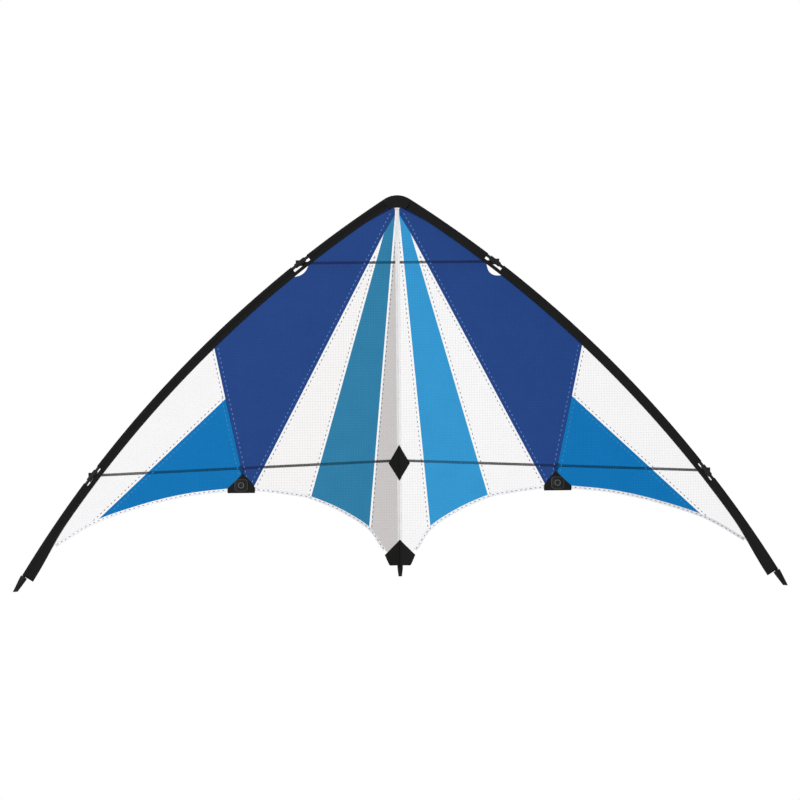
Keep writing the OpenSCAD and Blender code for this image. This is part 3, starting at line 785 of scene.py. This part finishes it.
def patches(side):
    """Half of the diamond, half of the tail patch and the standoff patch."""
    w = "right_" if side > 0 else "left_"
    steps = ramp(12)
    half = 17.2
    tops = [(half * t, -3.9 + 29.1 * (1 - t)) for t in steps]
    ends = [(half * t, -4.3 - 28.1 * (1 - t)) for t in steps]
    border = [[(0.4, 21.5), (14.6, -3.9), (0.4, -28.6)]]
    flat_patch(w + "centre_patch_half", side, tops, ends, 16, "inner", ["centre_patch"], border)

    half, flat, low = 24.6, 17.3, -169.4
    tops = [(half * t, -127.9 - 24.1 * t) for t in steps]
    ends = [(half * t, low + 17.0 * max(0, half * t - flat) / (half - flat)) for t in steps]
    border = [[(0.4, -131.5), (21.6, -152.2), (15.6, -166.8), (0.4, -166.8)]]
    flat_patch(w + "tail_patch_half", side, tops, ends, 16, "inner", ["tail_patch"], border)

    corner_x, corner_z = [231.8, 238, 251, 263, 275.9], [-40.6, -31.9, -17.6, -29.6, -41.8]
    xs = [231.8, 235, 238, 241, 244.5, 248, 251, 254, 257, 260, 263.5, 267, 271, 275.9]
    tops = [(x, float(np.interp(x, corner_x, corner_z))) for x in xs]
    ends = [(x, -49.4) for x in xs]
    border = [[(235.5, -47), (235.5, -40.5), (251, -22.2), (272, -41.5), (272, -47), (236.5, -47)]]
    node = w + "standoff_patch"
    flat_patch(node + "_cloth", side, tops, ends, 12, "fold", [node], border, STANDOFF_LIFT)


def nose():
    """A rounded band of heavy webbing wrapped over the nose, whose inner edge runs into the sleeves'."""
    # Radius, height of the centre and half the angle of the band's outer and inner edges
    outer_r, outer_z, outer_half = 38, 391, 38.0
    inner_r, inner_z, inner_half = 26, 382.7, 30
    section = []
    for k in range(28):
        a = 2 * math.pi * k / 28
        c, s = math.cos(a), math.sin(a)
        section.append((0.5 + 0.5 * math.copysign(abs(c) ** 0.3, c), 3.9 * math.copysign(abs(s) ** 0.6, s)))

    def at(r, turn):
        """A point of the band, r from 0 at its inner edge to 1 at its outer edge, turn from -1 to 1."""
        a, b = math.radians(turn * outer_half), math.radians(turn * inner_half)
        p = np.array([outer_r * math.sin(a), outer_z + outer_r * math.cos(a)])
        q = np.array([inner_r * math.sin(b), inner_z + inner_r * math.cos(b)])
        return q + (p - q) * r

    n = 40
    verts, uvs, faces = [], [], []
    m = len(section)
    for k in range(n + 1):
        turn = -1 + 2 * k / n
        for i, (r, h) in enumerate(section):
            x, z = at(r + noise.noise(Vector((k * 0.3, i * 0.5, 2.0))) * 0.01, turn)
            verts.append((x, h, z))
            uvs.append((turn * 0.025, r * 0.02))
    for k in range(n):
        for i in range(m):
            a, b = k * m + i, k * m + (i + 1) % m
            faces.append((a, b, b + m, a + m))
    faces.append(tuple(range(m))[::-1])
    faces.append(tuple(n * m + i for i in range(m)))
    obj = make("nose_band", verts, faces, BLACK, uvs)
    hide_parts("nose_patch")
    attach(obj, "centre")
    rows = [[at(r, t) for t in np.linspace(-0.95, 0.95, 24)] for r in (0.1, 0.22, 0.86)]
    both_faces("nose_thread", 1, rows, "centre", 3.8)


# The button plate's half width, half height and how far its back sinks into the patch's front
PLATE_X, PLATE_Z, PLATE_SINK = 10.5, 9.5, 0.2
# Steps of its profile as (share of the plate's outline, radius instead of it, height)
PLATE = ((1, 0, 0.0), (1, 0, 0.75), (0.95, 0, 1.15))
RING = (
    ((0, 5.4, 1.2), (0, 5.0, 2.0), (0, 4.3, 2.4), (0, 3.5, 2.1), (0, 3.1, 1.2))
    + ((0, 1.6, 0.9), (0, 0.4, 0.85))
)
# The steps whose faces are paler: a painted highlight along the plate's rounded edge and the ring's crest
PAINTED_HIGHLIGHT_STEPS = (1, 4, 5)


def button(side):
    """Rounded-square plate with a raised ring, which lies along the sail on its patch."""
    w = "right_" if side > 0 else "left_"
    low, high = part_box(w + "standoff_button")
    c = (low + high) / 2
    cx, cz = c.x / MM, c.z / MM
    # The sail's slopes over about the plate's own size
    x, reach = abs(cx), 8
    out = (sail_y(x + reach, cz) - sail_y(x - reach, cz)) / (2 * reach)
    up = (sail_y(x, cz + reach) - sail_y(x, cz - reach)) / (2 * reach)
    y0 = sail_y(x, cz) - (STANDOFF_LIFT + PATCH_T - PLATE_SINK)
    outline = []
    for k in range(48):
        a = 2 * math.pi * k / 48
        co, si = math.cos(a), math.sin(a)
        ox, oz = (math.copysign(abs(v) ** 0.42, v) for v in (co, si))
        outline.append((PLATE_X * ox, PLATE_Z * oz))
    profile = PLATE + RING
    verts, faces = [], []
    m = len(outline)
    for share, r, h in profile:
        for k, (ox, oz) in enumerate(outline):
            a = 2 * math.pi * k / m
            px, pz = (ox * share, oz * share) if share else (r * math.cos(a), r * math.sin(a))
            verts.append((cx + side * px, y0 + out * px + up * pz - h, cz + pz))
    for j in range(len(profile) - 1):
        for k in range(m):
            a, b = j * m + k, j * m + (k + 1) % m
            f = (a, b, b + m, a + m)
            faces.append(f if side < 0 else f[::-1])
    first, last = tuple(range(m)), tuple((len(profile) - 1) * m + k for k in range(m))
    faces.append(first[::-1] if side < 0 else first)
    faces.append(last if side < 0 else last[::-1])
    obj = make(w + "button_plate", verts, faces, RUBBER)
    # The paler faces are a painted highlight on the edge and the ring's crest
    obj.data.materials.append(RIM_PAINTED_HIGHLIGHT)
    for ring in PAINTED_HIGHLIGHT_STEPS:
        for k in range(m):
            obj.data.polygons[ring * m + k].material_index = 1
    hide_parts(w + "standoff_button")
    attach(obj, w + "sail_fold")


for side in (-1, 1):
    sail(side)
    sleeve(side)
    patches(side)
    button(side)
nose()

# ---------------------------------------------------------------- carried-over hard parts

# The first word that a node's name holds picks its material
FINISH = (
    ("edge_spar", ROD),
    ("spine_rod", ROD),
    ("spreader", SPREADER),
    ("ferrule", FERRULE),
    ("standoff_clip", RUBBER),
    ("standoff", SPREADER),
    ("cap", CAP),
    ("connector", RUBBER),
    ("cross", RUBBER),
)
for name, node in NODES.items():
    for word, material in FINISH:
        if word in name:
            node.data.materials.clear()
            node.data.materials.append(material)
            for p in node.data.polygons:
                p.material_index = 0
            break

# ---------------------------------------------------------------- studio


def floor():
    """A plain pale disc below the kite."""
    count, radius, height = 96, 2.6, -0.80
    angles = [2 * math.pi * k / count for k in range(count)]
    rim = [(radius * math.cos(a), radius * math.sin(a), height) for a in angles]
    mesh = bpy.data.meshes.new("floor")
    mesh.from_pydata(rim, [], [tuple(range(count))])
    obj = bpy.data.objects.new("floor", mesh)
    bpy.context.scene.collection.objects.link(obj)
    t = Tree("studio_floor")
    pale = t.node("BsdfPrincipled", {"Base Color": (0.86, 0.86, 0.86, 1), "Roughness": 0.85}).outputs[0]
    mesh.materials.append(t.done(pale))


def lamp(name, place, target, size, power):
    """A square area light, turned towards its target."""
    data = bpy.data.lights.new(name, "AREA")
    data.shape, data.size, data.energy = "SQUARE", size, power
    obj = bpy.data.objects.new(name, data)
    obj.location = place
    obj.rotation_euler = (Vector(target) - Vector(place)).to_track_quat("-Z", "Y").to_euler()
    bpy.context.scene.collection.objects.link(obj)


floor()
lamp("key", (-2.4, -3.0, 1.9), (0, 0, 0.1), 1.6, 95)
lamp("fill", (2.6, -3.2, 0.8), (0, 0, 0.1), 2.2, 22)
lamp("behind", (0.6, 2.8, 2.2), (0, 0, 0.1), 2.4, 60)

world = bpy.data.worlds.new("studio")
bpy.context.scene.world = world
world.use_nodes = True
nodes, links = world.node_tree.nodes, world.node_tree.links
nodes.clear()
out = nodes.new("ShaderNodeOutputWorld")
# The background is seen as white, and lights the kite more softly
kinds = ("Background", "Background", "MixShader", "LightPath")
seen, light, pick, path = (nodes.new("ShaderNode" + k) for k in kinds)
seen.inputs[0].default_value, seen.inputs[1].default_value = (1, 1, 1, 1), 1.0
light.inputs[0].default_value, light.inputs[1].default_value = (0.95, 0.97, 1, 1), 0.45
links.new(path.outputs["Is Camera Ray"], pick.inputs[0])
links.new(light.outputs[0], pick.inputs[1])
links.new(seen.outputs[0], pick.inputs[2])
links.new(pick.outputs[0], out.inputs[0])

cam = bpy.data.cameras.new("camera")
# A long lens straight in front, whose picture is view_w wide at the kite
away, view_w = 8.0, 1.2936
cam.sensor_width, cam.lens = 36, 36 * away / view_w
cam_obj = bpy.data.objects.new("camera", cam)
bpy.context.scene.collection.objects.link(cam_obj)
cam_obj.location = (0.0021, -away, 0.0978)
cam_obj.rotation_euler = (math.radians(90), math.radians(0.5), 0)
cam.clip_start, cam.clip_end = 0.1, 60
bpy.context.scene.camera = cam_obj
bpy.context.scene.view_settings.view_transform = "Standard"
